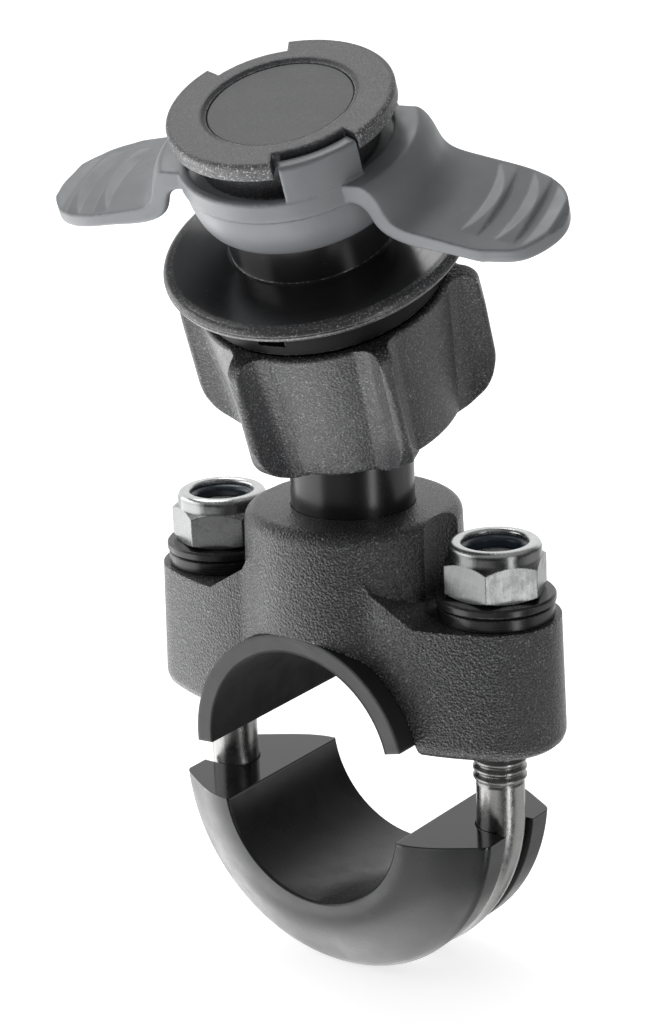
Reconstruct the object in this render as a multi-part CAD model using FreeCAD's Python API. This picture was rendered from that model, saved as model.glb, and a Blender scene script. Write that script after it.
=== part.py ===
import FreeCAD, Part
import math
import os

# Handlebar clamp with a ball-jointed twist-lock head. Millimetres, +Z up.
# Origin: centre of the bar bore. X runs across the two bolts, Y along the bar.
V = FreeCAD.Vector

# ---------------------------------------------------------------- driving sizes
bar_r = 12.0            # bore of the upper liner
liner_r = 14.0          # outside of the upper liner
liner_half = 11.85      # half length of the liner along the bar
liner_span = 170.0      # degrees of shell
liner_turn = 8.8        # the loose liner sits turned in its arch, left end low
arch_r = 14.05          # arch in the clamp

bolt_x = 18.4           # half pitch of the two legs
rod_r = 2.67            # plain rod of the U-bolt
thread_r = 2.95         # over the threads
thread_root = 2.55
pitch = 1.0
leg_top = 23.0
thread_end = -2.7

clamp_half = 9.4        # half width of the clamp along the bar
clamp_bottom = 1.8
ear_top = 16.3          # flat machined seat under the washers
ear_r_low = 7.35
ear_r_top = 7.0
boss_r_top = 11.9
boss_r_low = 12.35
boss_top = 26.0
hole_r = 3.4

washer_t = 1.6          # plain washer, then a thinner black one under the nut
washer_r = 6.3
nut_z = 18.9
nut_h = 5.7
nut_af = 10.0
nut_turn_right = -7.2   # azimuth of a corner of each nut
nut_turn_left = 30.0

saddle_z = -6.3         # centre of the lower saddle's bore, open as in the rest state
saddle_r = 11.6
saddle_out = 20.85
saddle_half = 10.35
saddle_face = -8.1      # flat upper faces of its two arms
groove_half = 2.76

post_r = 6.8
ball_z = 40.0
ball_r = 9.5
post_top = 33.38
stud_r = 4.0

lean = 22.7             # rest tilt of the head from vertical
lean_az = 281.0         # towards this azimuth

knob_bottom = -4.0
knob_top = 12.5
knob_floor_top = 13.6   # panels between the ribs, top and bottom radius
knob_floor_low = 12.05
knob_r = 16.4           # over the grip ribs
knob_ribs = 6
knob_rib_az = -33.0

flange_r = 16.2
flange_low = 16.6
flange_top = 18.1
neck_r = 8.7
core_r = 6.2

lever_az = 10.1
lever_w = 7.28
lever_tip = 28.9
ring_r = 11.8
ring_rim = 30.4
cup_bottom = 23.1

head_r = 11.8
head_low = 33.1
head_top = 35.0
notch_az = -36.5
notch_half = 23.0
notch_r = 9.7
hub_r = 9.3
cap_r = 7.6

EPS = 1e-6
O3 = V(0, 0, 0)
Z = V(0, 0, 1)


def add(a, b):
    return V(a.x + b.x, a.y + b.y, a.z + b.z)


def wire_rz(pts):
    """closed wire in the XZ plane from (r, z) points; ('a', mid, end) is an arc, ('s', [pts]) a smooth curve"""
    edges = []
    first = pts[0]
    cur = first
    for q in list(pts[1:]) + [first]:
        if q[0] == 'a':
            m, e = q[1], q[2]
            edges.append(Part.Arc(V(cur[0], 0, cur[1]), V(m[0], 0, m[1]), V(e[0], 0, e[1])).toShape())
            cur = e
        elif q[0] == 's':
            c = Part.BSplineCurve()
            c.interpolate([V(cur[0], 0, cur[1])] + [V(a, 0, b) for a, b in q[1]])
            edges.append(c.toShape())
            cur = q[1][-1]
        else:
            if math.hypot(q[0] - cur[0], q[1] - cur[1]) > EPS:
                edges.append(Part.makeLine(V(cur[0], 0, cur[1]), V(q[0], 0, q[1])))
            cur = q
    return Part.Wire(edges)


def rev(pts, angle=360.0, start=0.0):
    f = Part.Face(wire_rz(pts))
    s = f.revolve(O3, Z, angle)
    if start:
        s.rotate(O3, Z, start)
    return solid(s)


def solid(s):
    if s.ShapeType == 'Solid':
        return s
    if s.Solids:
        return s.Solids[0] if len(s.Solids) == 1 else s
    return Part.makeSolid(s)


def cyl(r, h, at=O3, d=Z):
    return Part.makeCylinder(r, h, at, d)


def ring(r0, r1, z0, z1, x=0.0, y=0.0):
    return cyl(r1, z1 - z0, V(x, y, z0)).cut(cyl(r0, z1 - z0 + 2, V(x, y, z0 - 1)))


def prism(wire, h, at=O3):
    f = Part.Face(wire)
    s = f.extrude(V(0, 0, h))
    s.translate(at)
    return s


def polar(r, a):
    return V(r * math.cos(math.radians(a)), r * math.sin(math.radians(a)), 0)


def one(s, name):
    s = s.removeSplitter()
    if len(s.Solids) != 1:
        vols = sorted((x.Volume for x in s.Solids), reverse=True)
        print(name, 'has', len(s.Solids), 'solids', [round(v, 3) for v in vols])
        s = max(s.Solids, key=lambda x: x.Volume)
    else:
        s = s.Solids[0]
    if not s.isValid():
        s.fix(1e-4, 1e-4, 1e-4)
    print('%-18s vol %9.2f valid %s' % (name, s.Volume, s.isValid()))
    return s


os.makedirs("parts", exist_ok=True)
made = {}


def save(name, s):
    s = one(s, name)
    made[name] = s
    s.exportStep("parts/%s.step" % name)


# head frame: Z along the tilted head axis, origin at the ball centre
b = math.radians(lean)
a = math.radians(lean_az)
h = V(math.sin(b) * math.cos(a), math.sin(b) * math.sin(a), math.cos(b))
u = V(h.z, 0, -h.x)
u.normalize()
v = h.cross(u)
M = FreeCAD.Matrix(u.x, v.x, h.x, 0, u.y, v.y, h.y, 0, u.z, v.z, h.z, ball_z, 0, 0, 0, 1)
HEAD = FreeCAD.Placement(M)


def save_head(name, s):
    s = one(s, name)
    s.Placement = HEAD.multiply(s.Placement)
    made[name] = s
    s.exportStep("parts/%s.step" % name)


# ---------------------------------------------------------------- upper clamp
def outline(r_e, w, z, inset=0.0):
    """plan outline of the clamp body: flat front, big blend arcs, round ears"""
    r_e -= inset
    w -= inset
    R = 30.0
    d = math.sqrt((R - r_e) ** 2 - (R - w) ** 2)
    x1 = bolt_x - d
    n = R - r_e
    tx, ty = bolt_x + r_e * d / n, -r_e * (R - w) / n
    am = math.atan2((-w + R) - 0, -(bolt_x - x1))
    cx, cy = x1, -w + R
    a0 = -90.0
    a1 = math.degrees(math.atan2(ty - cy, tx - cx))
    mid = (cx + R * math.cos(math.radians((a0 + a1) / 2)), cy + R * math.sin(math.radians((a0 + a1) / 2)))
    P = lambda x, y: V(x, y, z)
    e = [Part.makeLine(P(-x1, -w), P(x1, -w)),
         Part.Arc(P(x1, -w), P(*mid), P(tx, ty)).toShape(),
         Part.Arc(P(tx, ty), P(bolt_x + r_e, 0), P(tx, -ty)).toShape(),
         Part.Arc(P(tx, -ty), P(mid[0], -mid[1]), P(x1, w)).toShape(),
         Part.makeLine(P(x1, w), P(-x1, w)),
         Part.Arc(P(-x1, w), P(-mid[0], -mid[1]), P(-tx, -ty)).toShape(),
         Part.Arc(P(-tx, -ty), P(-bolt_x - r_e, 0), P(-tx, ty)).toShape(),
         Part.Arc(P(-tx, ty), P(-mid[0], mid[1]), P(-x1, -w)).toShape()]
    return Part.Wire(e)


def taper(t):
    return ear_r_low + (ear_r_top - ear_r_low) * t, clamp_half + 0.15 - 0.3 * t


def section(z, inset=0.0):
    t = (z - clamp_bottom) / (ear_top - clamp_bottom)
    r_e, w = taper(t)
    return outline(r_e, w, z, inset)


levels = [(clamp_bottom, 1.35), (clamp_bottom + 0.25, 0.75), (clamp_bottom + 0.7, 0.27), (clamp_bottom + 1.3, 0.04),
          (clamp_bottom + 1.7, 0.0), (ear_top - 1.2, 0.0), (ear_top, 0.0)]
body = Part.makeLoft([section(z, i) for z, i in levels], True, True)
boss = rev([(0, 8.0), (boss_r_low + 0.1, 8.0), (boss_r_top + 0.05, boss_top - 1.4),
            ('a', (boss_r_top - 0.35, boss_top - 0.42), (boss_r_top - 1.35, boss_top)), (0, boss_top)])
# web above the seats: its outer ends slope down from the boss and sweep round the washers
web = Part.Face(Part.makePolygon([V(-13.6, 0, 12), V(13.6, 0, 12), V(13.6, 0, ear_top), V(10.4, 0, 18.3), V(8.6, 0, 19.4), V(7.6, 0, 21.0),
                                  V(-7.6, 0, 21.0), V(-8.6, 0, 19.4), V(-10.4, 0, 18.3), V(-13.6, 0, ear_top), V(-13.6, 0, 12)])).extrude(V(0, 60, 0))
web.translate(V(0, -30, 0))
t_web = Part.makeLoft([section(ear_top - 3.0, 0.0), section(ear_top + 6.0, 0.0)], True, True)
def blend(z, sx, sy):
    """concave fillet in plan between the boss and the flat front of the body"""
    R = 4.5
    w = taper((z - clamp_bottom) / (ear_top - clamp_bottom))[1] - 0.05
    rb = boss_r_low + 0.1 - (boss_r_low + 0.05 - boss_r_top) * (z - 8.0) / (boss_top - 9.4)
    xc = math.sqrt((rb + R) ** 2 - (w + R) ** 2)
    g = rb / (rb + R)
    P = lambda x, y: V(sx * x, sy * y, z)
    a0, a1 = math.atan2(w + R - g * (w + R), xc - g * xc), math.pi / 2
    am = (a0 + a1) / 2
    return Part.Wire([Part.Arc(P(g * xc, g * (w + R)), P(xc - R * math.cos(am), w + R - R * math.sin(am)), P(xc, w)).toShape(),
                      Part.makeLine(P(xc, w), P(xc, w - 2.0)), Part.makeLine(P(xc, w - 2.0), P(g * xc - 1.5, w - 2.0)),
                      Part.makeLine(P(g * xc - 1.5, w - 2.0), P(g * xc, g * (w + R)))])


fills = [Part.makeLoft([blend(9.0, sx, sy), blend(21.5, sx, sy)], True, True) for sx in (-1, 1) for sy in (-1, 1)]
slope = web
web = slope.common(t_web)
low_box = Part.makeBox(60, 60, ear_top - 9.0, V(-30, -30, 9.0))
clamp = body.fuse([boss, web] + [f.common(slope) for f in fills] + [f.common(low_box) for f in fills])
cuts = [cyl(arch_r, 60, V(0, -30, 0), V(0, 1, 0)),
        cyl(post_r + 0.05, 8, V(0, 0, 20.0)), cyl(2.7, 12, V(0, 0, 11.0)), cyl(4.6, 17.3 - 10, V(0, 0, 10.0))]
for sx in (-1, 1):
    # spot face: round the washers the seat runs back into the boss
    sp = rev([(0, ear_top), (6.9, ear_top), (7.5, ear_top + 0.6), (7.6, ear_top + 1.2), (7.6, ear_top + 12), (0, ear_top + 12)])
    sp.translate(V(sx * bolt_x, 0, 0))
    cuts.append(sp)
    cuts.append(cyl(hole_r, 40, V(sx * bolt_x, 0, -5)))
for c in cuts:
    clamp = clamp.cut(c)
save("upper_clamp", clamp)

# ---------------------------------------------------------------- liner
lin = cyl(liner_r, 2 * liner_half, V(0, -liner_half, 0), V(0, 1, 0)).cut(
    cyl(bar_r, 2 * liner_half + 2, V(0, -liner_half - 1, 0), V(0, 1, 0)))
half = liner_span / 2
pts = [V(0, 0, 0)] + [V(40 * math.sin(math.radians(q)), 0, 40 * math.cos(math.radians(q)))
                      for q in (-half, -half / 2, 0, half / 2, half)]
wedge = Part.Face(Part.makePolygon(pts + [pts[0]])).extrude(V(0, 60, 0))
wedge.translate(V(0, -30, 0))
lin = lin.common(wedge)
lin.rotate(O3, V(0, 1, 0), -liner_turn)
save("upper_liner", lin)

# ---------------------------------------------------------------- post, ball, screw
post = rev([(0, 20.02), (post_r - 0.5, 20.02), (post_r, 20.5), (post_r, post_top - 0.6), (post_r - 0.35, post_top),
            (stud_r, post_top), (stud_r, ball_z + 5.0), (stud_r - 0.5, ball_z + 5.5), (0, ball_z + 5.5)])
post = post.cut(cyl(2.55, 10.5, V(0, 0, 19.5)))
save("post", post)

ball = Part.makeSphere(ball_r, V(0, 0, ball_z))
ball = ball.cut(Part.makeBox(40, 40, 20, V(-20, -20, post_top + 0.54 - 20)))
ball = ball.cut(cyl(stud_r + 0.06, 40, V(0, 0, 20))).cut(Part.makeBox(40, 40, 20, V(-20, -20, ball_z + 8.2)))
save("ball", ball)

save("ball_washer", ring(stud_r + 0.06, 6.2, post_top + 0.02, post_top + 0.52))

scr = rev([(0, 14.3), (3.9, 14.3), (4.25, 14.65), (4.25, 17.26), (2.5, 17.26), (2.5, 29.2), (2.1, 29.6), (0, 29.6)])
hexw = Part.makePolygon([polar(2.3, 60 * k) for k in range(7)])
scr = scr.cut(prism(hexw, 2.2, V(0, 0, 14.0)))
save("post_screw", scr)

# ---------------------------------------------------------------- washers, nuts
for side, sx, az in (("left", -1, nut_turn_left), ("right", 1, nut_turn_right)):
    x = sx * bolt_x
    seat_z = ear_top + 0.01
    w1 = rev([(3.2, seat_z), (washer_r - 0.12, seat_z), (washer_r, seat_z + 0.12), (washer_r, seat_z + washer_t - 0.3),
              (washer_r - 0.3, seat_z + washer_t - 0.02), (3.2, seat_z + washer_t - 0.02)])
    w1.translate(V(x, 0, 0))
    save("seat_washer_" + side, w1)
    z0 = seat_z + washer_t
    w2 = rev([(3.15, z0), (6.3, z0), (6.45, z0 + 0.15), (6.45, nut_z - 0.25), (6.25, nut_z - 0.02), (3.15, nut_z - 0.02)])
    w2.translate(V(x, 0, 0))
    save("washer_" + side, w2)
    # nyloc nut: chamfered hexagon with a rolled collar that holds the nylon ring
    hexh = 4.15
    hx = prism(Part.makePolygon([polar(nut_af / math.sqrt(3), 60 * k) for k in range(7)]), hexh)
    cone = rev([(0, 0), (4.95, 0), (5.9, 0.5), (5.9, hexh - 0.75), (4.85, hexh), (0, hexh)])
    hx = hx.common(cone)
    col = rev([(0, hexh - 0.3), (5.0, hexh - 0.3), (4.98, hexh + 0.1), (4.98, nut_h - 0.75),
               ('a', (4.82, nut_h - 0.25), (4.4, nut_h)), (3.95, nut_h), ('a', (3.68, nut_h - 0.12), (3.58, nut_h - 0.45)), (0, nut_h - 0.45)])
    nut = hx.fuse(col)
    nut = nut.cut(cyl(3.0, 20, V(0, 0, -1)))
    nut = nut.cut(rev([(0, -1), (3.7, -1), (3.35, 0), (3.0, 0.4), (0, 0.4)]))
    nut = nut.cut(cyl(4.35, 1.35, V(0, 0, nut_h - 1.95)))
    nut = nut.cut(cyl(3.58, 2.0, V(0, 0, nut_h - 0.65)))
    nut.rotate(O3, Z, az)
    nut.translate(V(x, 0, nut_z))
    save("nut_" + side, nut)
    ins = rev([(3.02, nut_h - 1.95), (4.33, nut_h - 1.95), (4.33, nut_h - 0.64), (3.55, nut_h - 0.64),
               (3.2, nut_h - 0.8), (3.02, nut_h - 1.05)])
    ins.translate(V(x, 0, nut_z))
    save("nut_insert_" + side, ins)

# ---------------------------------------------------------------- U-bolt
def leg(sx):
    p = [(0, saddle_z), (rod_r, saddle_z), (rod_r, thread_end - 0.3)]
    z = thread_end
    while z < leg_top - 1.2:
        p += [(thread_root, z), (thread_r, z + 0.42), (thread_r, z + 0.58)]
        z += pitch
    p += [(thread_root, z), (thread_root, leg_top - 0.35), (thread_root - 0.4, leg_top), (0, leg_top)]
    s = rev(p)
    s.translate(V(sx * bolt_x, 0, 0))
    return s


bow_prof = Part.Face(Part.Wire(Part.makeCircle(rod_r, V(bolt_x, 0, saddle_z), Z)))
bow = solid(bow_prof.revolve(V(0, 0, saddle_z), V(0, 1, 0), 180))
save("u_bolt", bow.fuse([leg(-1), leg(1)]))

# ---------------------------------------------------------------- lower saddle
# section of the half ring: r from the bore centre, second value along the bar
gr = bolt_x - rod_r - 0.12
prof = [(saddle_r, -saddle_half + 0.2), (saddle_r + 0.2, -saddle_half),
        ('s', [(13.2, -10.18), (15.4, -9.4), (17.9, -7.95), (19.7, -6.8), (20.45, -6.25), (saddle_out, -5.6)]),
        (saddle_out, -groove_half), (bolt_x, -groove_half), ('a', (gr, 0), (bolt_x, groove_half)),
        (saddle_out, groove_half), (saddle_out, 5.6),
        ('s', [(20.45, 6.25), (19.7, 6.8), (17.9, 7.95), (15.4, 9.4), (13.2, 10.18), (saddle_r + 0.2, saddle_half)]),
        (saddle_r, saddle_half - 0.2)]
sad = rev(prof)
sad.rotate(O3, V(1, 0, 0), 90)
sad.translate(V(0, 0, saddle_z))
sad = sad.cut(Part.makeBox(60, 60, 40, V(-30, -30, saddle_face)))
save("lower_saddle", sad)

# ---------------------------------------------------------------- head side, built upright about the ball centre
# lower seat ring and upper seat shell of the ball
low = rev([(8.0, -2.6), (11.0, -2.6), (11.2, -2.4), (11.2, 0.45), (11.0, 0.6), (8.0, 0.6)])
save_head("seat_lower", low.cut(Part.makeSphere(ball_r + 0.05)))
up = Part.makeSphere(ball_r + 0.8).cut(Part.makeSphere(ball_r + 0.05))
up = up.common(ring(4.6, 20, 0.9, 9.2))
save_head("seat_upper", up)

# socket: holds the ball from above, carries the thread and the slotted collet ring under the flange
sock = rev([(0, 1.0), (11.1, 1.0), (11.5, 1.4), (11.5, 3.0), (12.2, 3.6)] +
           [q for k in range(8) for q in ((12.2, 4.2 + k), (12.0, 4.5 + k), (12.0, 4.7 + k), (12.2, 5.0 + k))] +
           [(12.2, 12.6), (12.6, 12.75), (13.0, 12.9), (13.0, 15.25), (13.25, 15.4), (13.25, 15.9), (13.0, 16.05), (13.0, flange_low - 0.01), (0, flange_low - 0.01)])
sock = sock.cut(Part.makeSphere(ball_r + 0.86)).cut(cyl(5.05, 8, V(0, 0, 12.4))).cut(cyl(4.4, 8, V(0, 0, 6)))
for k in range(4):
    slot = Part.makeBox(4.0, 3.1, 1.5, V(11.6, -1.55, 13.9))
    slot.rotate(O3, Z, -79.0 + 90 * k)
    sock = sock.cut(slot)
save_head("socket", sock)

# thrust ring between the knob's shelf and the lower seat
save_head("thrust_ring", ring(10.15, 11.2, -3.17, -2.63))


# knob: a plain cup with six upright grip ribs that fade into its lower end
floor_at = lambda t: knob_floor_low + (knob_floor_top - knob_floor_low) * (t - knob_bottom) / (knob_top - knob_bottom)
knob = rev([(0, knob_bottom), (knob_floor_low - 0.6, knob_bottom), ('a', (knob_floor_low - 0.15, knob_bottom + 0.17), (floor_at(knob_bottom + 0.6), knob_bottom + 0.6)),
            (knob_floor_top - 0.03, knob_top - 0.35), ('a', (knob_floor_top - 0.12, knob_top - 0.12), (knob_floor_top - 0.38, knob_top)), (0, knob_top)])


def rib_wire(z):
    """plan section of one rib on +X at height z: wide concave flanks that run up to a rounded crest"""
    r0 = floor_at(z) - 0.2
    crest = knob_r - 0.8
    P = lambda x, y: V(x, y, z)
    left = [P(math.sqrt(r0 * r0 - 2.6 * 2.6), 2.6)] + [P(r0 + f * (crest - r0), w) for f, w in ((0.10, 1.9), (0.28, 1.33), (0.58, 0.98), (1.0, 0.72))]
    up = Part.BSplineCurve()
    up.interpolate(left)
    e1 = up.toShape()
    tip = Part.Arc(left[-1], P(knob_r, 0), P(left[-1].x, -left[-1].y)).toShape()
    dn = Part.BSplineCurve()
    dn.interpolate([P(q.x, -q.y) for q in reversed(left)])
    e3 = dn.toShape()
    c = P(knob_floor_low - 2.2, 0)
    return Part.Wire([e1, tip, e3, Part.makeLine(P(left[0].x, -left[0].y), c), Part.makeLine(c, left[0])])


rib = Part.makeLoft([rib_wire(knob_bottom), rib_wire(knob_top)], True, True)
env = rev([(0, knob_bottom), (knob_floor_low - 0.3, knob_bottom), ('s', [(12.75, -3.95), (13.7, -3.35), (14.8, -2.4), (15.6, -1.2), (16.1, 0.1), (16.34, 1.4), (knob_r, 3.2)]),
           (knob_r - 0.02, 8.0), (knob_r - 0.2, knob_top - 1.6), ('a', (knob_r - 0.62, knob_top - 0.5), (knob_r - 1.7, knob_top)), (0, knob_top)])
rib = rib.common(env)
for k in range(knob_ribs):
    r1 = rib.copy()
    r1.rotate(O3, Z, knob_rib_az + 60.0 * k)
    knob = knob.fuse(r1)
inner = rev([(0, -5), (11.0, -5), (10.7, knob_bottom), (10.15, -3.2), (11.3, -3.2), (11.3, 0.7), (11.65, 1.0), (11.65, 2.3),
             (12.35, 3.0), (12.35, 12.0), (12.75, 12.2), (12.75, 15), (0, 15)])
save_head("knob", knob.cut(inner))

# flange and neck: disc with a fine groove round its rim, sleeve for the lever, core for the head
fl = rev([(0, flange_low), (15.3, flange_low), ('a', (15.95, flange_low + 0.2), (flange_r, flange_low + 0.72)),
          (flange_r - 0.12, flange_low + 0.8), (flange_r, flange_low + 0.88), ('a', (15.98, flange_top - 0.22), (15.4, flange_top)),
          (neck_r + 0.35, 18.62), (neck_r, 18.75), (neck_r, 24.3), (neck_r - 0.3, 24.6), (7.9, 24.6), (7.9, 18.8), (core_r, 18.8),
          (core_r, 29.4), (0, 29.4)])
stub = cyl(5.0, 4.0, V(0, 0, 12.6))
fl = fl.fuse(stub).cut(cyl(2.55, 12, V(0, 0, 20)))
save_head("flange_neck", fl)

# ---------------------------------------------------------------- lever ring
cup = rev([(8.78, cup_bottom), (9.3, cup_bottom), ('s', [(10.05, 23.35), (10.75, 24.3), (11.2, 25.7), (11.45, 27.0), (11.55, 28.0)]),
           (11.4, 28.06), (11.7, 28.14), (ring_r, 28.4), (ring_r, ring_rim - 0.3), ('a', (11.72, ring_rim - 0.08), (11.5, ring_rim)),
           (11.1, ring_rim), ('a', (10.9, ring_rim - 0.08), (10.8, ring_rim - 0.3)), (10.8, 29.4), (core_r + 0.08, 29.4), (core_r + 0.08, 28.0),
           (9.9, 28.0), (9.9, 25.2), (9.3, 24.4), (8.78, 24.2)])
# sheet of the two wings: a turned S section that drops from the rim and runs out, with finger ridges
top_pts = [(13.3, 30.4), (14.0, 29.9), (14.55, 28.9), (14.9, 27.8), (15.25, 26.8), (15.9, 26.0), (16.9, 25.5),
           (18.6, 25.05), (20.4, 24.62), (23.0, 24.05), (25.5, 23.55), (29.8, 22.7)]
bot_pts = [(26.2, 21.75), (23.8, 22.25), (19.9, 23.05), (16.0, 23.85), (14.75, 24.5), (13.9, 25.3), (13.4, 26.3), (13.0, 27.4), (12.4, 28.05), (11.5, 28.2)]
sheet_pts = [(11.0, 28.2), (11.0, 30.4), (13.1, 30.4), ('s', top_pts), (29.8, 21.2), ('s', bot_pts)]
sheet = rev(sheet_pts, 76.0, -38.0)


def ridge(rc, high):
    top = lambda r: 24.06 - 0.2 * (r - 23.0)
    return rev([(rc - 2.3, top(rc - 2.3) - 0.9), (rc - 2.3, top(rc - 2.3) - 0.35),
                ('s', [(rc - 1.4, top(rc - 1.4) - 0.02), (rc - 0.6, top(rc - 0.6) + 0.55 * high), (rc - 0.15, top(rc) + 0.95 * high)]),
                ('s', [(rc + 0.1, top(rc) + 0.95 * high), (rc + 0.35, top(rc) + 0.4 * high), (rc + 0.7, top(rc + 0.7) - 0.35)]),
                (rc + 0.7, top(rc + 0.7) - 0.9)], 60.0, -30.0)


def tip_wire(z):
    c = Part.BSplineCurve()
    c.interpolate(Points=[V(20.5, lever_w, z), V(23.3, lever_w - 0.3, z), V(25.8, 6.0, z), V(27.8, 3.75, z), V(lever_tip, 0, z),
                          V(27.8, -3.75, z), V(25.8, -6.0, z), V(23.3, -lever_w + 0.3, z), V(20.5, -lever_w, z)],
                  InitialTangent=V(1, 0, 0), FinalTangent=V(-1, 0, 0))
    return Part.Wire([c.toShape(), Part.makeLine(V(20.5, -lever_w, z), V(5.0, -lever_w, z)),
                      Part.makeLine(V(5.0, -lever_w, z), V(5.0, lever_w, z)), Part.makeLine(V(5.0, lever_w, z), V(20.5, lever_w, z))])


wing = sheet.common(prism(tip_wire(0), 20, V(0, 0, 18)))
# the finger ridges fade out before the edges: they are cut by a wide crown that runs along the wing
crown = cyl(30.0, 60, V(0, 0.6, 29.12 - 30.6), V(1, 0, -0.2)).common(prism(tip_wire(0), 20, V(0, 0, 18)))
edges = []
for e in wing.Edges:
    m = e.valueAt((e.FirstParameter + e.LastParameter) / 2)
    n = e.valueAt(e.FirstParameter)
    low_side = abs(abs(m.y) - lever_w) < 0.01 and abs(abs(n.y) - lever_w) < 0.01 and 13.3 < m.x < 20 and m.z < 24.6
    low_tip = m.x > 27.0 and m.z < 22.0
    if (low_side or low_tip) and e.Length > 5.0:
        edges.append(e)
wing = solid(wing.makeFillet(0.5, edges))
wing = wing.fuse([ridge(rc, hi).common(crown) for rc, hi in ((21.9, 0.5), (25.5, 0.5), (28.1, 0.35))])
lever = cup
for az in (lever_az, lever_az + 180.0):
    w = wing.copy()
    w.rotate(O3, Z, az)
    lever = lever.fuse(w)
# key block that stands up into the head's front notch
blk = rev([(10.0, 29.0), (11.75, 29.0), (11.7, 33.9), ('a', (11.55, 34.2), (11.2, 34.3)), (10.3, 34.3), (10.0, 34.0)], 41.0, notch_az + 1.0 - 20.5)
lever = lever.fuse(blk)
save_head("lever_ring", lever)

# coil spring under the lever
turns = 5.5
coil_pts = [V(7.05 * math.cos(q), 7.05 * math.sin(q), 1.48 * q / (2 * math.pi))
            for q in [2 * math.pi * k / 16.0 for k in range(int(16 * turns) + 1)]]
line = Part.BSplineCurve()
line.interpolate(coil_pts)
wire_end = Part.Wire(Part.makeCircle(0.42, coil_pts[0], line.tangent(0)[0]))
coil = solid(Part.Wire(line.toShape()).makePipeShell([wire_end], True, True))
coil.translate(V(0, 0, 19.32))
save_head("lever_spring", coil)

# ---------------------------------------------------------------- head
hd = rev([(0, 29.44), (hub_r, 29.44), (hub_r, head_low), (head_r - 0.35, head_low), ('a', (head_r - 0.08, head_low + 0.1), (head_r, head_low + 0.4)),
          (head_r, head_top - 0.45), ('a', (head_r - 0.12, head_top - 0.12), (head_r - 0.5, head_top)), (8.15, head_top), (7.75, head_top - 0.3),
          (0, head_top - 0.3)])
for k in (0, 180):
    n = ring(notch_r, 20, head_low - 0.05, 40)
    wdg = Part.Face(Part.makePolygon([O3, polar(40, -notch_half), polar(40, notch_half), O3])).extrude(V(0, 0, 60))
    n = n.common(wdg)
    n.rotate(O3, Z, notch_az + k)
    hd = hd.cut(n)
hd = hd.cut(cyl(2.75, 20, V(0, 0, 25))).cut(cyl(4.7, 10, V(0, 0, 31.3))).cut(cyl(cap_r + 0.05, 3, V(0, 0, 33.9)))
save_head("head", hd)
hs = rev([(0, 20.6), (2.1, 20.6), (2.5, 21.0), (2.5, 31.32), (4.4, 31.32), (4.4, 33.2), (4.1, 33.5), (0, 33.5)])
hs = hs.cut(prism(Part.makePolygon([polar(2.3, 60 * k) for k in range(7)]), 3, V(0, 0, 31.9)))
save_head("head_screw", hs)
cap = rev([(0, 33.92), (cap_r, 33.92), (cap_r, 34.5), (cap_r - 0.12, 34.62), (0, 34.62)])
save_head("cap_disc", cap)
print(len(made), 'nodes')
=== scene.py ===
import math

import bpy
from mathutils import Matrix, Vector


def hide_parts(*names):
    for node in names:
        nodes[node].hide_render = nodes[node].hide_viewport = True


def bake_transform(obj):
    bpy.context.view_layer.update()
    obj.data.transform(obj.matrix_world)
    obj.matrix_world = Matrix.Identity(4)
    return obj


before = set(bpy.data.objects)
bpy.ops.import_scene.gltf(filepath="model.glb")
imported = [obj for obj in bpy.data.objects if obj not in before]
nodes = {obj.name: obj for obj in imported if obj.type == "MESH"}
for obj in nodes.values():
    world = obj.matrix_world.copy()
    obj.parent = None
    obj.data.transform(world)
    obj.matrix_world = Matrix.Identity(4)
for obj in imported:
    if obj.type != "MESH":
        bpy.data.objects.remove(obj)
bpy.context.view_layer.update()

# head axis and two directions across it; the ball centre is their origin
H = Vector((0.073635, -0.378819, 0.922538)).normalized()
HU = Vector((H.z, 0.0, -H.x)).normalized()
HV = H.cross(HU)
BALL = Vector((0.0, 0.0, 0.040))
BOLT_X = 0.0184


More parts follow.
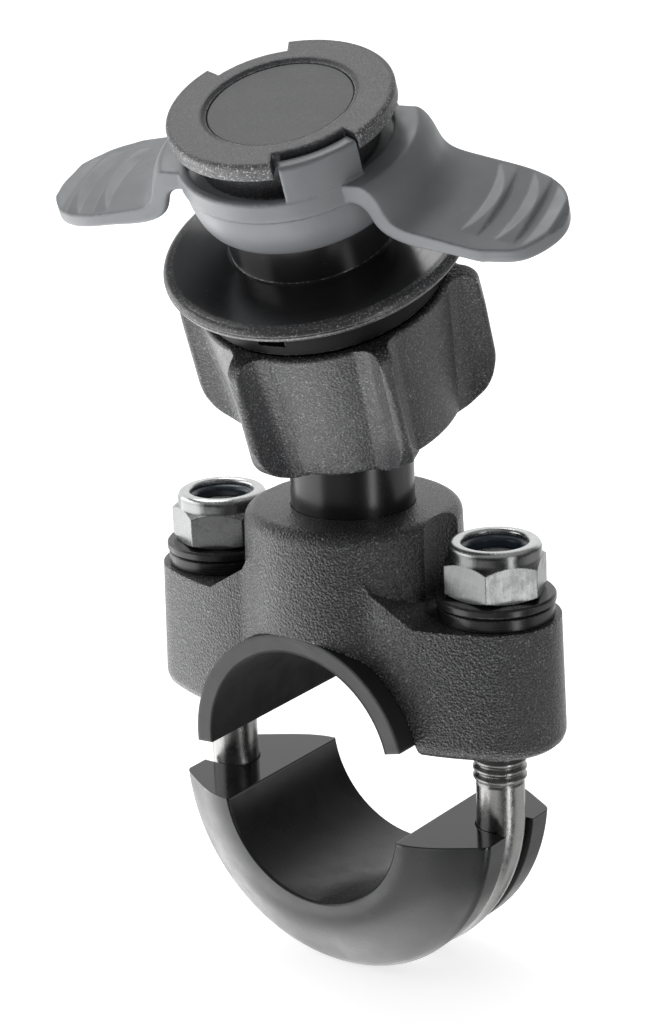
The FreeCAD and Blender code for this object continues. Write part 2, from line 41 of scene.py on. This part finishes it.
# ---------------------------------------------------------------- materials
class Mat:
    """A node material with short helpers. Coordinates are the object's own, in metres."""

    def __init__(self, name):
        self.m = bpy.data.materials.new(name)
        self.m.use_nodes = True
        self.t = self.m.node_tree
        self.b = self.t.nodes["Principled BSDF"]
        self.co = self.t.nodes.new("ShaderNodeTexCoord").outputs["Object"]
        self.h = None

    def node(self, kind, **kw):
        n = self.t.nodes.new(kind)
        for k, v in kw.items():
            if k.startswith("i_"):
                n.inputs[k[2:].replace("_", " ")].default_value = v
            else:
                setattr(n, k, v)
        return n

    def link(self, a, b):
        self.t.links.new(a, b)

    def noise(self, size, detail=3.0, rough=0.55, co=None, stretch=None, distortion=0.0):
        """noise whose features are about size metres across"""
        co = self.co if co is None else co
        if stretch is not None:
            mp = self.node("ShaderNodeMapping")
            mp.inputs["Scale"].default_value = stretch
            self.link(co, mp.inputs["Vector"])
            co = mp.outputs["Vector"]
        n = self.node("ShaderNodeTexNoise", i_Scale=1.0 / size, i_Detail=detail, i_Roughness=rough, i_Distortion=distortion)
        self.link(co, n.inputs["Vector"])
        return n.outputs["Fac"]

    def cells(self, size, smooth=0.6, co=None):
        n = self.node("ShaderNodeTexVoronoi", feature="SMOOTH_F1", i_Scale=1.0 / size, i_Smoothness=smooth)
        self.link(self.co if co is None else co, n.inputs["Vector"])
        return n.outputs["Distance"]

    def ramp(self, fac, a, b, lo=0.0, hi=1.0):
        """maps fac from a..b to lo..hi, clamped and eased"""
        n = self.node("ShaderNodeMapRange", interpolation_type="SMOOTHSTEP")
        for k, v in (("From Min", a), ("From Max", b), ("To Min", lo), ("To Max", hi)):
            n.inputs[k].default_value = v
        self.link(fac, n.inputs["Value"])
        return n.outputs["Result"]

    def math(self, op, a, b=None, c=None):
        n = self.node("ShaderNodeMath", operation=op)
        for i, v in enumerate((a, b, c)):
            if v is None:
                continue
            if isinstance(v, (int, float)):
                n.inputs[i].default_value = v
            else:
                self.link(v, n.inputs[i])
        return n.outputs[0]

    def mix(self, fac, a, b):
        n = self.node("ShaderNodeMix", data_type="RGBA")
        for s, v in ((n.inputs["Factor"], fac), (n.inputs[6], a), (n.inputs[7], b)):
            if isinstance(v, (int, float)):
                s.default_value = v
            elif isinstance(v, tuple):
                s.default_value = (*v, 1.0)
            else:
                self.link(v, s)
        return n.outputs[2]

    def dot(self, vec, axis):
        n = self.node("ShaderNodeVectorMath", operation="DOT_PRODUCT")
        self.link(vec, n.inputs[0])
        n.inputs[1].default_value = axis
        return n.outputs["Value"]

    def about(self, origin, axis, u, v):
        """distance from an axis and height along it"""
        s = self.node("ShaderNodeVectorMath", operation="SUBTRACT")
        self.link(self.co, s.inputs[0])
        s.inputs[1].default_value = origin
        p = s.outputs["Vector"]
        x, y = self.dot(p, u), self.dot(p, v)
        r = self.math("SQRT", self.math("ADD", self.math("MULTIPLY", x, x), self.math("MULTIPLY", y, y)))
        return r, self.dot(p, axis), x, y

    def vec(self, x, y, z):
        n = self.node("ShaderNodeCombineXYZ")
        for s, v in zip(n.inputs, (x, y, z)):
            if isinstance(v, (int, float)):
                s.default_value = v
            else:
                self.link(v, s)
        return n.outputs[0]

    def bump(self, height, distance, strength=1.0):
        n = self.node("ShaderNodeBump", i_Strength=strength, i_Distance=distance)
        self.link(height, n.inputs["Height"])
        if self.h is not None:
            self.link(self.h, n.inputs["Normal"])
        self.h = n.outputs["Normal"]

    def soft_edges(self, radius, samples=4):
        """rounds the shading of sharp edges and returns a mask of them"""
        n = self.node("ShaderNodeBevel", samples=samples)
        n.inputs["Radius"].default_value = radius
        g = self.node("ShaderNodeNewGeometry")
        d = self.node("ShaderNodeVectorMath", operation="DOT_PRODUCT")
        self.link(n.outputs["Normal"], d.inputs[0])
        self.link(g.outputs["True Normal"], d.inputs[1])
        self.h = n.outputs["Normal"]
        return self.ramp(d.outputs["Value"], 0.97, 0.80)

    def finish(self, colour, rough, metallic=0.0, ior=1.5, coat=0.0, coat_rough=0.1, aniso=0.0):
        for key, v in (("Base Color", colour), ("Roughness", rough), ("Metallic", metallic)):
            s = self.b.inputs[key]
            if isinstance(v, tuple):
                s.default_value = (*v, 1.0)
            elif isinstance(v, (int, float)):
                s.default_value = v
            else:
                self.link(v, s)
        self.b.inputs["IOR"].default_value = ior
        self.b.inputs["Coat Weight"].default_value = coat
        self.b.inputs["Coat Roughness"].default_value = coat_rough
        if aniso:
            self.b.inputs["Anisotropic"].default_value = aniso
        if self.h is not None:
            self.link(self.h, self.b.inputs["Normal"])
        return self.m


def scaled(c, k):
    return tuple(min(1.0, v * k) for v in c)


def textured(name, base, rough=0.5, grain=0.00042, depth=0.00003, edge=1.6, edge_r=0.00025, pebble_glint=0.25, glint=0.15, rim_wear_and_sheen=None):
    """powder coat or moulded grain: pebbles, a finer grain between them, pebble tops painted lighter as glints,
    lighter edges that are partly wear and partly painted highlight, painted glints
    """
    m = Mat(name)
    e = m.soft_edges(edge_r)
    pebble = m.cells(grain, 0.5)
    fine = m.noise(grain * 0.45, 2.0, 0.6)
    m.bump(m.math("ADD", m.math("MULTIPLY", pebble, 1.0), m.math("MULTIPLY", fine, 0.55)), depth, 0.85)
    broad = m.noise(0.006, 4.0, 0.6)
    c = m.mix(m.ramp(broad, 0.3, 0.7), scaled(base, 0.86), scaled(base, 1.14))
    tops = m.ramp(pebble, 0.15, 0.55)
    # the pebble tops are painted lighter: a painted glint where the grain catches light
    c = m.mix(m.math("MULTIPLY", tops, pebble_glint), c, scaled(base, 2.2))
    # edges painted lighter: partly wear, partly a painted highlight along the edges
    c = m.mix(m.math("MULTIPLY", e, m.ramp(m.noise(0.0007, 3.0), 0.35, 0.65, 0.35, 1.0)), c, scaled(base, edge))
    # painted glints: sparse bright points, denser along the edges
    spark = m.ramp(m.noise(0.00019, 2.0, 0.5), 0.575, 0.65)
    where = m.math("ADD", m.math("MULTIPLY", e, 1.3), m.ramp(m.noise(0.0030, 3.0), 0.50, 0.75, glint * 0.5, glint))
    if rim_wear_and_sheen is not None:
        # the outside of the disc, beyond this radius from the head's axis, is painted lighter with more painted
        # glints: partly rubbed wear, partly a painted highlight
        r, t, x, y = m.about(BALL, H, HU, HV)
        k = m.ramp(r, rim_wear_and_sheen - 0.00035, rim_wear_and_sheen)
        where = m.math("ADD", where, m.math("MULTIPLY", k, 0.5))
        c = m.mix(m.math("MULTIPLY", k, m.ramp(m.noise(0.0009, 3.0), 0.35, 0.65, 0.25, 0.9)), c, (0.115, 0.115, 0.118))
    c = m.mix(m.math("MULTIPLY", spark, where), c, (0.62, 0.62, 0.63))
    return m.finish(c, m.ramp(fine, 0.3, 0.7, rough - 0.05, rough + 0.07))


def turned(name, base, rough, axis, origin, u, v, line=0.00009, depth=0.000002, rim=None, vary=1.0, ior=1.5):
    """glossy turned black: faint rings, dust, a soft sheen and lighter edges that are partly wear and partly painted
    highlight
    """
    m = Mat(name)
    e = m.soft_edges(0.00015)
    r, t, x, y = m.about(origin, axis, u, v)
    rings = m.noise(line, 1.5, 0.5, co=m.vec(r, t, 0.0))
    m.bump(rings, depth, 0.7)
    dust = m.ramp(m.noise(0.0004, 2.0, 0.7), 0.66, 0.78)
    c = m.mix(m.ramp(m.noise(0.004, 3.0), 0.3, 0.7), scaled(base, 0.85), scaled(base, 1.15))
    c = m.mix(m.math("MULTIPLY", dust, 0.10), c, (0.4, 0.4, 0.41))
    rr = m.ramp(rings, 0.3, 0.7, rough - 0.03 * vary, rough + 0.05 * vary)
    if rim is not None:
        # the rim outside radius rim is left rough from the tool, and a little lighter, with painted glints in spots
        k = m.ramp(r, rim - 0.0003, rim + 0.0001)
        coarse = m.noise(0.00022, 2.0, 0.6, co=m.vec(m.math("MULTIPLY", x, 0.35), m.math("MULTIPLY", y, 0.35), m.math("MULTIPLY", t, 1.6)))
        m.bump(m.math("MULTIPLY", coarse, k), 0.000007, 0.8)
        c = m.mix(m.math("MULTIPLY", k, m.ramp(coarse, 0.55, 0.75, 0.25, 1.0)), c, (0.10, 0.10, 0.103))
        rim_glints = m.ramp(m.noise(0.0002, 2.0, 0.5), 0.575, 0.65)
        c = m.mix(m.math("MULTIPLY", m.math("MULTIPLY", rim_glints, k), 0.4), c, (0.55, 0.55, 0.56))
        rr = m.math("ADD", rr, m.math("MULTIPLY", k, 0.14))
    # edges painted lighter: partly wear, partly a painted highlight along the edges
    c = m.mix(m.math("MULTIPLY", e, m.ramp(m.noise(0.0005, 2.0), 0.4, 0.65)), c, (0.28, 0.28, 0.29))
    return m.finish(c, rr, ior=ior)


def metal(name, base, rough, streak=(1.0, 1.0, 0.12), grain=0.00025, depth=0.000006, dull=0.12, pits=0.5, shaded_flats=None):
    """zinc plate or steel: clouds in the gloss, fine drawn streaks, small dents"""
    m = Mat(name)
    e = m.soft_edges(0.00018)
    lines = m.noise(grain, 3.0, 0.6, stretch=streak)
    cloud = m.noise(0.0016, 4.0, 0.65)
    dent = m.ramp(m.noise(0.0009, 2.0, 0.4), 0.62, 0.75)
    m.bump(m.math("SUBTRACT", m.math("ADD", lines, m.math("MULTIPLY", cloud, 1.6)), m.math("MULTIPLY", dent, pits)), depth, 0.9)
    c = m.mix(m.ramp(cloud, 0.3, 0.7), scaled(base, 1.0 - dull), scaled(base, 1.04))
    c = m.mix(m.math("MULTIPLY", dent, 0.35), c, scaled(base, 0.55))
    # edges painted lighter: partly wear, partly a painted highlight along the edges
    c = m.mix(m.math("MULTIPLY", e, 0.5), c, scaled(base, 1.12))
    if shaded_flats is not None:
        # the wrench flats, farther from the bolt's axis than the collar, are painted darker by the given factor:
        # painted shade
        r, t, x, y = m.about((shaded_flats[0], 0, 0), Z, X, Y)
        c = m.mix(m.ramp(r, 0.00485, 0.00497), c, scaled(base, shaded_flats[1]))
    return m.finish(c, m.ramp(m.math("ADD", m.math("MULTIPLY", cloud, 0.7), m.math("MULTIPLY", lines, 0.3)), 0.3, 0.7, rough - 0.06, rough + 0.10), metallic=1.0)


def moulded(name, base, rough, grain=0.00028, depth=0.000010, edge=1.25, edge_r=0.0003, patch=0.0, shiny_above=None, matt_and_shaded_inside=None):
    """satin moulded plastic: faint grain, flow clouds, scuffed rougher patches, soft lighter edges that are partly
    wear and partly painted highlight
    """
    m = Mat(name)
    e = m.soft_edges(edge_r, 6)
    fine = m.noise(grain, 3.0, 0.6)
    m.bump(fine, depth, 0.8)
    broad = m.noise(0.007, 4.0, 0.55)
    c = m.mix(m.ramp(broad, 0.3, 0.7), scaled(base, 0.93), scaled(base, 1.07))
    rr = m.ramp(m.noise(0.003, 3.0), 0.3, 0.7, rough - 0.04, rough + 0.06)
    if patch:
        k = m.ramp(m.noise(0.0048, 2.0, 0.45), 0.50, 0.60)
        coarse = m.noise(0.00042, 2.0, 0.6)
        m.bump(m.math("MULTIPLY", coarse, k), patch, 0.8)
    if shiny_above is not None:
        # the faces above this height were moulded against polished steel
        z = m.dot(m.co, (0, 0, 1))
        rr = m.math("MULTIPLY", rr, m.ramp(z, shiny_above - 0.0002, shiny_above, 1.0, 0.38))
    # edges painted lighter: partly wear, partly a painted highlight along the edges
    c = m.mix(m.math("MULTIPLY", e, m.ramp(m.noise(0.0006, 2.0), 0.35, 0.6, 0.4, 1.0)), c, scaled(base, edge))
    if matt_and_shaded_inside is not None:
        # the bore's wall, nearer the bar's axis than this, is matt, and painted darker as shade
        r, t, x, y = m.about((0, 0, 0), (0, 1, 0), (1, 0, 0), (0, 0, 1))
        k = m.ramp(r, matt_and_shaded_inside + 0.0003, matt_and_shaded_inside)
        c = m.mix(k, c, scaled(base, 0.45))
        rr = m.math("ADD", rr, m.math("MULTIPLY", k, 0.4))
    return m.finish(c, rr)


Z = Vector((0, 0, 1))
X = Vector((1, 0, 0))
Y = Vector((0, 1, 0))
# the edge factors and glint settings below set how strongly each finish paints highlights along edges and glints; the
# head's and liner's edges are painted much lighter
clamp_coat = textured("clamp_powder", (0.017, 0.0173, 0.0185), 0.24, grain=0.00027, depth=0.000115, pebble_glint=0.8, glint=0.34)
knob_grain = textured("knob_grain", (0.024, 0.0244, 0.026), 0.27, grain=0.00028, depth=0.000062, pebble_glint=0.5, glint=0.45, edge=1.8, edge_r=0.0004)
head_grain = textured("head_grain", (0.030, 0.0305, 0.033), 0.42, glint=0.18, grain=0.00030, depth=0.000034, pebble_glint=0.4, edge=12.0, edge_r=0.00050, rim_wear_and_sheen=0.01165)
cap_grain = textured("cap_grain", (0.040, 0.0405, 0.043), 0.48, grain=0.00024, depth=0.000007, pebble_glint=0.1, edge=2.2, edge_r=0.00012, glint=0.08)
saddle_gloss = moulded("saddle_gloss", (0.0095, 0.0100, 0.0111), 0.28, grain=0.0005, depth=0.000002, edge=2.0, edge_r=0.0002, shiny_above=-0.0083)
liner_satin = moulded("liner_satin", (0.016, 0.0164, 0.018), 0.38, matt_and_shaded_inside=0.0121, patch=0.00003, grain=0.0004, depth=0.000010, edge=4.5, edge_r=0.0005)
lever_satin = moulded("lever_satin", (0.192, 0.201, 0.211), 0.36, grain=0.00030, depth=0.000008, edge=2.0, edge_r=0.0005, patch=0.000030)
nylon = moulded("nylon_blue", (0.035, 0.052, 0.075), 0.22, grain=0.0003, depth=0.000003, edge=1.6)
seat_white = moulded("seat_acetal", (0.62, 0.61, 0.57), 0.35)
post_black = turned("post_black", (0.012, 0.012, 0.013), 0.25, Z, (0, 0, 0), X, Y, line=0.0003, depth=0.0000002, vary=0.12)
socket_black = turned("socket_black", (0.007, 0.007, 0.0075), 0.45, H, BALL, HU, HV, ior=1.22)
flange_black = turned("flange_black", (0.012, 0.012, 0.013), 0.19, H, BALL, HU, HV, rim=0.0151, ior=1.7)
# both nuts are the same zinc plate; the darker flats on both are painted shade, much stronger on the right nut
zinc = metal("zinc_plate", (0.62, 0.625, 0.63), 0.24, shaded_flats=(-BOLT_X, 0.5))
zinc_right_shaded = metal("zinc_right_shaded", (0.62, 0.625, 0.63), 0.24, shaded_flats=(BOLT_X, 0.27))
zinc_washer = metal("zinc_washer", (0.28, 0.28, 0.29), 0.24, streak=(1, 1, 1))
rod = metal("rod_steel", (0.33, 0.327, 0.323), 0.27, streak=(1.0, 1.0, 0.06), grain=0.00020, depth=0.000008)
steel = metal("steel", (0.55, 0.55, 0.56), 0.22)
oxide_right = turned("oxide_right", (0.014, 0.014, 0.015), 0.26, Z, (BOLT_X, 0, 0), X, Y)
oxide_left = turned("oxide_left", (0.014, 0.014, 0.015), 0.26, Z, (-BOLT_X, 0, 0), X, Y)
screw_black = textured("screw_black", (0.03, 0.03, 0.032), 0.35, grain=0.0002, depth=0.000005)

FINISH = {
    "upper_clamp": clamp_coat, "upper_liner": liner_satin, "post": post_black, "ball": steel, "ball_washer": zinc_washer,
    "post_screw": screw_black, "seat_washer_left": oxide_left, "seat_washer_right": oxide_right, "washer_left": oxide_left,
    "washer_right": oxide_right, "nut_left": zinc, "nut_right": zinc_right_shaded, "nut_insert_left": nylon, "nut_insert_right": nylon,
    "u_bolt": rod, "lower_saddle": saddle_gloss, "seat_lower": seat_white, "seat_upper": seat_white, "socket": socket_black,
    "thrust_ring": zinc_washer, "knob": knob_grain, "flange_neck": flange_black, "lever_ring": lever_satin, "lever_spring": steel,
    "head": head_grain, "head_screw": screw_black, "cap_disc": cap_grain,
}
for name, o in nodes.items():
    m = FINISH[name]
    if not o.material_slots:
        o.data.materials.append(m)
    for s in o.material_slots:
        s.material = m

# ---------------------------------------------------------------- spring
# the coil spring's mesh is copied into an object of its own with its placement baked in, and the lever_spring node is
# hidden
coil = nodes["lever_spring"].copy()
coil.data = coil.data.copy()
coil.name = "lever_spring_coils"
bpy.context.scene.collection.objects.link(coil)
place = nodes["lever_spring"].matrix_world.copy()
coil.parent = None
coil.matrix_world = place
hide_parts("lever_spring")
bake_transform(coil)

# ---------------------------------------------------------------- floor
FLOOR_Z = -0.02745
bpy.ops.mesh.primitive_circle_add(vertices=96, radius=3.0, fill_type="NGON", location=(0, 0, FLOOR_Z))
floor = bpy.context.object
floor.name = "floor"
fm = bpy.data.materials.new("floor_white")
fm.use_nodes = True
fb = fm.node_tree.nodes["Principled BSDF"]
fb.inputs["Base Color"].default_value = (0.86, 0.86, 0.86, 1)
fb.inputs["Roughness"].default_value = 0.9
fb.inputs["Specular IOR Level"].default_value = 0.0
fb.inputs["Emission Color"].default_value = (1, 1, 1, 1)
fb.inputs["Emission Strength"].default_value = 0.70
floor.data.materials.append(fm)
for way in ("visible_glossy", "visible_diffuse", "visible_transmission", "visible_shadow"):
    setattr(floor, way, False)

# ---------------------------------------------------------------- camera, fitted to the photograph
AZ, EL, ROLL, DIST = math.radians(36.99), math.radians(18.032), math.radians(2.387), 0.31519
LOOK = Vector((-0.0031475, 0.0, 0.0242076))
back = Vector((math.sin(AZ) * math.cos(EL), -math.cos(AZ) * math.cos(EL), math.sin(EL)))
right = Vector((math.cos(AZ), math.sin(AZ), 0.0))
up = back.cross(right)
R = right * math.cos(ROLL) - up * math.sin(ROLL)
U = right * math.sin(ROLL) + up * math.cos(ROLL)
cam_data = bpy.data.cameras.new("camera")
cam = bpy.data.objects.new("camera", cam_data)
bpy.context.scene.collection.objects.link(cam)
cam_data.sensor_width = 36.0
cam_data.lens = 2865.88 / 1024.0 * 36.0
cam_data.clip_start = 0.01
cam_data.clip_end = 20.0
rot = Matrix((R, U, back)).transposed()
cam.matrix_world = Matrix.Translation(LOOK + back * DIST) @ rot.to_4x4()
bpy.context.scene.camera = cam


# ---------------------------------------------------------------- light
def softbox(name, rel, elevation, dist, wide, high, radiance, target=(0, 0, 0.03)):
    """area light placed by its angle from the camera's azimuth, positive to the camera's right"""
    a, e = AZ + math.radians(rel), math.radians(elevation)
    d = Vector((math.sin(a) * math.cos(e), -math.cos(a) * math.cos(e), math.sin(e)))
    data = bpy.data.lights.new(name, "AREA")
    data.shape = "RECTANGLE"
    data.size, data.size_y = wide, high
    data.energy = radiance * math.pi * wide * high
    o = bpy.data.objects.new(name, data)
    bpy.context.scene.collection.objects.link(o)
    o.location = Vector(target) + d * dist
    o.rotation_mode = "QUATERNION"
    o.rotation_quaternion = d.to_track_quat("Z", "Y")
    o.visible_camera = False
    return o


softbox("left_box", -97, -6, 0.70, 1.05, 1.15, 2.0)
softbox("right_strip", 36, -8, 0.75, 0.15, 0.85, 4.2)
softbox("top_box", -150, 62, 0.80, 0.38, 0.38, 4.1)

world = bpy.data.worlds.new("studio")
bpy.context.scene.world = world
world.use_nodes = True
wt = world.node_tree
bg = wt.nodes["Background"]
bg.inputs["Color"].default_value = (1.0, 1.0, 1.0, 1.0)


def wnode(kind, **kw):
    n = wt.nodes.new(kind)
    for k, v in kw.items():
        setattr(n, k, v)
    return n


def wrange(value, a, b, lo, hi):
    n = wnode("ShaderNodeMapRange", interpolation_type="SMOOTHSTEP")
    for k, v in (("From Min", a), ("From Max", b), ("To Min", lo), ("To Max", hi)):
        n.inputs[k].default_value = v
    wt.links.new(value, n.inputs["Value"])
    return n.outputs["Result"]


def wmath(op, a, b):
    n = wnode("ShaderNodeMath", operation=op)
    for s, v in zip(n.inputs, (a, b)):
        if isinstance(v, (int, float)):
            s.default_value = v
        else:
            wt.links.new(v, s)
    return n.outputs[0]


def wdot(vec, axis):
    n = wnode("ShaderNodeVectorMath", operation="DOT_PRODUCT")
    wt.links.new(vec, n.inputs[0])
    n.inputs[1].default_value = axis
    return n.outputs["Value"]


ray = wnode("ShaderNodeTexCoord").outputs["Generated"]
front = Vector((math.sin(AZ), -math.cos(AZ), 0.0))
side = Vector((math.cos(AZ), math.sin(AZ), 0.0))
low_right = (side * math.cos(math.radians(6)) - front * math.sin(math.radians(6))) * math.cos(math.radians(28)) - Vector((0, 0, math.sin(math.radians(28))))
behind = wrange(wdot(ray, tuple(front)), -0.42, -0.75, 0.0, 0.9)
above = wrange(wdot(ray, (0, 0, 1)), 0.25, 0.9, 0.0, 0.22)
leftward = wrange(wdot(ray, tuple(-side)), -0.15, 0.40, 0.0, 1.0)
table_left = wmath("MULTIPLY", wrange(wdot(ray, (0, 0, 1)), -0.25, -0.55, 0.0, 1.5), leftward)
table = wmath("MULTIPLY", wrange(wdot(ray, (0, 0, 1)), -0.71, -0.89, 0.0, 3.1), wrange(wdot(ray, tuple(side)), 0.42, -0.10, 0.25, 1.0))
below = wmath("MAXIMUM", table_left, table)
glow = wrange(wdot(ray, tuple(low_right)), 0.84, 0.95, 0.0, 0.75)
light = wmath("ADD", wmath("ADD", wmath("ADD", behind, above), wmath("ADD", below, 0.09)), glow)
path = wnode("ShaderNodeLightPath")
mixer = wnode("ShaderNodeMix", data_type="FLOAT")
wt.links.new(path.outputs["Is Camera Ray"], mixer.inputs["Factor"])
wt.links.new(light, mixer.inputs["A"])
mixer.inputs["B"].default_value = 1.0
wt.links.new(mixer.outputs["Result"], bg.inputs["Strength"])

bpy.context.scene.view_settings.view_transform = "Standard"
bpy.context.scene.view_settings.look = "None"
